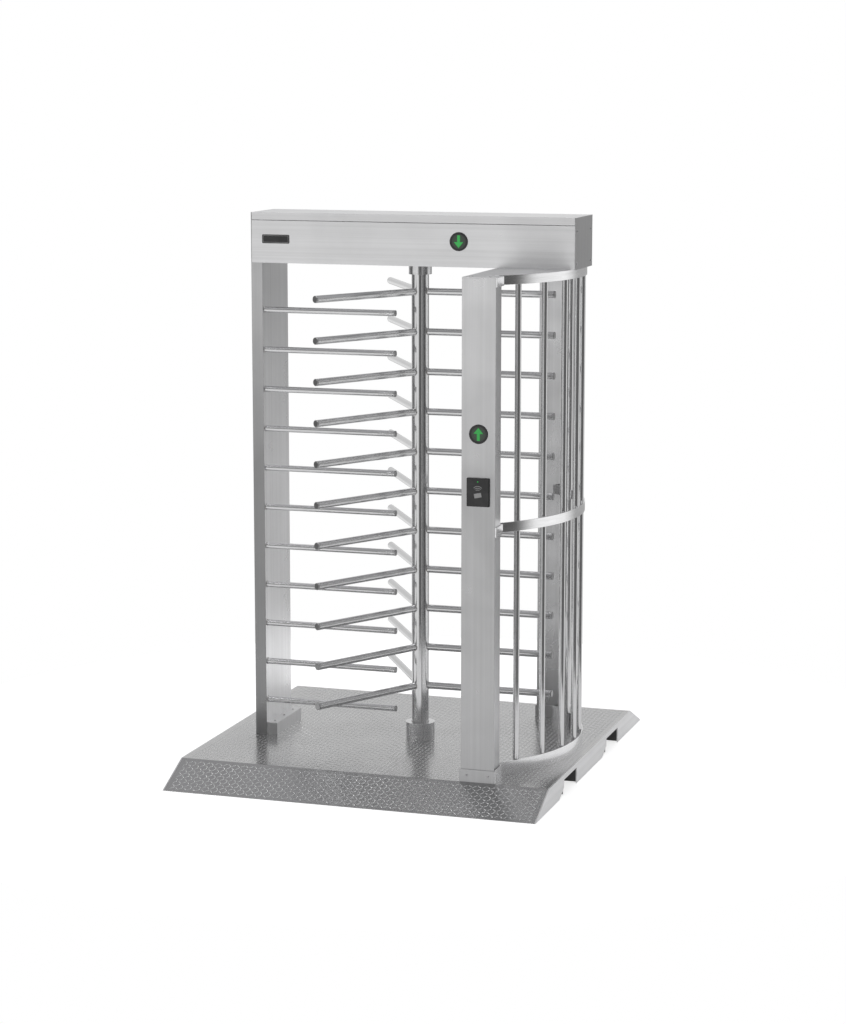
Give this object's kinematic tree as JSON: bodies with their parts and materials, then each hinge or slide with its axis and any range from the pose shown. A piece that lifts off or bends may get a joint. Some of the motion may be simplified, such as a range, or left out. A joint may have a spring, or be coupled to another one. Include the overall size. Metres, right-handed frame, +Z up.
{
  "type": "full-height turnstile",
  "caption": "Portable full-height turnstile on a tread-plate platform: tubular rotor wings turn past a fixed comb and a round cage, under a header with the counting mechanism.",
  "frame": {"origin": "middle of the platform's footprint on the floor", "axes": "+Z up, +X along the header from the comb post to the cage, -Y towards the front ramp"},
  "size_m": [1.606, 1.8, 2.356],
  "materials": {
    "tread_plate": "raised-lug tread plate, bead blasted",
    "edge_steel": "flat satin sheet",
    "dark_channel": "matt dark primer",
    "brushed_sheet": "fine horizontal grain",
    "polished_tube": "polished",
    "band_steel": "satin flat bar",
    "turned_steel": "turned",
    "plated_steel": "zinc plated",
    "hardened_steel": "ground and hardened",
    "cast_housing": "painted casting",
    "anodised": "dark anodised",
    "black_plug": "moulded",
    "black_gloss": "smooth moulded",
    "smoked_lens": "smoked",
    "green_light": "lit green",
    "floor_rubber": "moulded",
    "circuit_board": "solder mask",
    "solenoid_blue": "wound coil in a moulded case",
    "grey_case": "moulded case"
  },
  "bodies": {
    "frame": {"deck_plate": "tread_plate", "end_plates": "edge_steel", "fork_channels": "dark_channel", "platform_bearers": "dark_channel", "platform_pads": "floor_rubber", "left_post": "brushed_sheet", "post_feet": "brushed_sheet", "comb_arms": "polished_tube", "comb_arm_plugs": "black_plug", "floor_bearing_cup": "polished_tube", "rotor_bearings": "turned_steel", "top_collar": "polished_tube", "head_bearing_housing": "cast_housing", "header_trough": "brushed_sheet", "header_end_plates": "brushed_sheet", "lid_hinges": "plated_steel", "name_plate": "black_gloss", "mechanism_bed": "plated_steel", "mechanism_screws": "plated_steel", "damper_body": "anodised", "encoder_body": "anodised", "lock_solenoids": "solenoid_blue", "return_springs": "hardened_steel", "control_board": "circuit_board", "power_supply": "plated_steel", "counter_module": "grey_case", "cable_gland": "black_plug", "front_column": "brushed_sheet", "rear_column": "brushed_sheet", "roof_plate": "brushed_sheet", "band_top": "band_steel", "band_middle": "band_steel", "band_bottom": "band_steel", "band_brackets": "band_steel", "cage_tubes": "polished_tube", "indicator_bezels": "black_gloss", "indicator_lenses": "smoked_lens", "indicator_arrows": "green_light", "card_readers": "black_gloss"},
    "rotor": {"rotor_column": "polished_tube", "rotor_shafts": "turned_steel", "wing_1_arms": "polished_tube", "wing_2_arms": "polished_tube", "wing_3_arms": "polished_tube", "rotor_arm_plugs": "black_plug", "index_disc": "hardened_steel", "drive_gear": "turned_steel", "centring_cam": "hardened_steel"},
    "damper_spindle": {"damper_pinion": "turned_steel"},
    "encoder_spindle": {"encoder_pinion": "turned_steel"},
    "entry_pawl": {"lock_pawl_entry": "hardened_steel"},
    "exit_pawl": {"lock_pawl_exit": "hardened_steel"},
    "entry_plunger": {"lock_plunger_entry": "turned_steel"},
    "exit_plunger": {"lock_plunger_exit": "turned_steel"},
    "centring_lever": {"centring_arm": "plated_steel", "cam_roller": "turned_steel"},
    "lid": {"header_lid": "brushed_sheet"},
    "lid_key": {"lid_lock": "turned_steel"},
    "door": {"column_door": "brushed_sheet"},
    "door_key": {"door_lock": "turned_steel"}
  },
  "joints": [
    {"name": "rotor_turn", "type": "hinge", "parent": "frame", "child": "rotor", "pos_m": [0.055, -0.075, 0.09], "axis": [0, 0, 1], "continuous": true},
    {"name": "damper_turn", "type": "hinge", "parent": "frame", "child": "damper_spindle", "pos_m": [0.1495, -0.075, 2.2], "axis": [0, 0, 1], "continuous": true},
    {"name": "encoder_turn", "type": "hinge", "parent": "frame", "child": "encoder_spindle", "pos_m": [-0.041, -0.075, 2.2], "axis": [0, 0, 1], "continuous": true},
    {"name": "entry_pawl_swing", "type": "hinge", "parent": "frame", "child": "entry_pawl", "pos_m": [0.15046, -0.12034, 2.23], "axis": [0, 0, -1], "range_deg": [0, 10.5], "stiffness_Nm_per_rad": 0.3},
    {"name": "exit_pawl_swing", "type": "hinge", "parent": "frame", "child": "exit_pawl", "pos_m": [-0.04046, -0.12034, 2.23], "axis": [0, 0, 1], "range_deg": [0, 10.5], "stiffness_Nm_per_rad": 0.3},
    {"name": "entry_plunger_pull", "type": "slide", "parent": "frame", "child": "entry_plunger", "axis": [0.5, -0.866, 0], "range_m": [0, 0.0048]},
    {"name": "exit_plunger_pull", "type": "slide", "parent": "frame", "child": "exit_plunger", "axis": [-0.5, -0.866, 0], "range_m": [0, 0.0048]},
    {"name": "centring_swing", "type": "hinge", "parent": "frame", "child": "centring_lever", "pos_m": [0.133, 0.009, 2.265], "axis": [0, 0, -1], "range_deg": [0, 6], "stiffness_Nm_per_rad": 5},
    {"name": "lid_lift", "type": "hinge", "parent": "frame", "child": "lid", "pos_m": [0.055, 0.065, 2.324], "axis": [-1, 0, 0], "range_deg": [0, 100]},
    {"name": "lid_key_turn", "type": "hinge", "parent": "frame", "child": "lid_key", "pos_m": [-0.655, -0.15, 2.306], "axis": [-1, 0, 0], "range_deg": [0, 90]},
    {"name": "door_swing", "type": "hinge", "parent": "frame", "child": "door", "pos_m": [0.554, -0.62, 1.425], "axis": [0, 0, -1], "range_deg": [0, 95]},
    {"name": "door_key_turn", "type": "hinge", "parent": "door", "child": "door_key", "pos_m": [0.458, -0.615, 1.425], "axis": [0, -1, 0], "range_deg": [0, 90]}
  ],
  "couplings": [
    {"joint": "damper_turn", "follows": "rotor_turn", "ratio": -3.2},
    {"joint": "encoder_turn", "follows": "rotor_turn", "ratio": -3},
    {"joint": "entry_plunger_pull", "follows": "entry_pawl_swing", "m_per_rad": 0.02585},
    {"joint": "exit_plunger_pull", "follows": "exit_pawl_swing", "m_per_rad": 0.02585}
  ]
}
